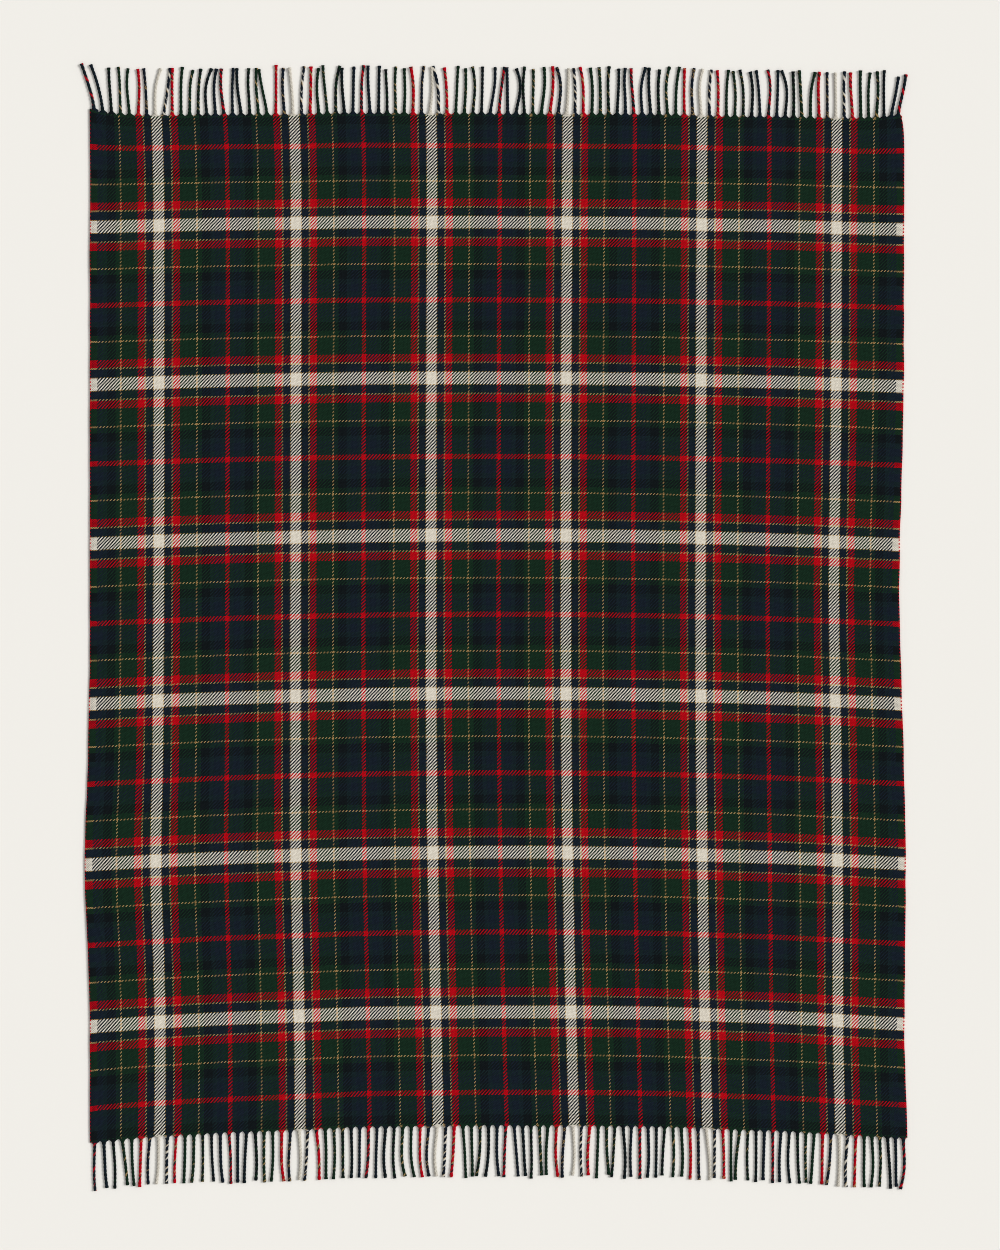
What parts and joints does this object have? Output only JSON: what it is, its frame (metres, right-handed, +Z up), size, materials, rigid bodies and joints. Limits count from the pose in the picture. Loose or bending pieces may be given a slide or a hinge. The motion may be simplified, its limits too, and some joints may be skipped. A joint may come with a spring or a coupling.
{
  "type": "throw blanket",
  "caption": "Checked wool throw laid out flat, a thin oblong cloth with a row of twisted tassels along each short end; it folds in at both ends and then in half.",
  "frame": {"origin": "centre of the bounding box's underside: under the middle of the cloth, on the surface it lies on", "axes": "+X across the cloth along the weft, +Y along the cloth and its warp towards the north fringe, +Z up out of the face of the cloth"},
  "size_m": [1.31, 1.8, 0.0044],
  "materials": {
    "twill_cloth": "woollen twill in a check of green, navy, black, red, white and gold, softly milled, no gloss",
    "dark_tassels": "two-ply twisted woollen warp, black, navy and green with flecks of red and gold",
    "bright_tassels": "two-ply twisted woollen warp, red, white and white with black"
  },
  "bodies": {
    "south_middle": {"cloth_south_middle": "twill_cloth"},
    "south_end": {"cloth_south_end": "twill_cloth"},
    "north_middle": {"cloth_north_middle": "twill_cloth"},
    "north_end": {"cloth_north_end": "twill_cloth"},
    "south_fringe": {"south_tassels_dark_1": "dark_tassels", "south_tassels_dark_2": "dark_tassels", "south_tassels_dark_3": "dark_tassels", "south_tassels_dark_4": "dark_tassels", "south_tassels_dark_5": "dark_tassels", "south_tassels_dark_6": "dark_tassels", "south_tassels_dark_7": "dark_tassels", "south_tassels_bright_1": "bright_tassels", "south_tassels_bright_2": "bright_tassels", "south_tassels_bright_3": "bright_tassels", "south_tassels_bright_4": "bright_tassels", "south_tassels_bright_5": "bright_tassels", "south_tassels_bright_6": "bright_tassels"},
    "north_fringe": {"north_tassels_dark_1": "dark_tassels", "north_tassels_dark_2": "dark_tassels", "north_tassels_dark_3": "dark_tassels", "north_tassels_dark_4": "dark_tassels", "north_tassels_dark_5": "dark_tassels", "north_tassels_dark_6": "dark_tassels", "north_tassels_dark_7": "dark_tassels", "north_tassels_bright_1": "bright_tassels", "north_tassels_bright_2": "bright_tassels", "north_tassels_bright_3": "bright_tassels", "north_tassels_bright_4": "bright_tassels", "north_tassels_bright_5": "bright_tassels", "north_tassels_bright_6": "bright_tassels"}
  },
  "joints": [
    {"name": "middle_fold", "type": "hinge", "parent": "south_middle", "child": "north_middle", "pos_m": [0, 0, 0.00815], "axis": [1, 0, 0], "range_deg": [0, 180]},
    {"name": "south_end_fold", "type": "hinge", "parent": "south_middle", "child": "south_end", "pos_m": [0, -0.4525, 0.00395], "axis": [-1, 0, 0], "range_deg": [0, 180]},
    {"name": "north_end_fold", "type": "hinge", "parent": "north_middle", "child": "north_end", "pos_m": [0, 0.4525, 0.00395], "axis": [1, 0, 0], "range_deg": [0, 180]},
    {"name": "south_fringe_swing", "type": "hinge", "parent": "south_end", "child": "south_fringe", "pos_m": [0, -0.82, 0.0045], "axis": [1, 0, 0], "range_deg": [-180, 0]},
    {"name": "north_fringe_swing", "type": "hinge", "parent": "north_end", "child": "north_fringe", "pos_m": [0, 0.82, 0.0045], "axis": [-1, 0, 0], "range_deg": [-180, 0]}
  ]
}
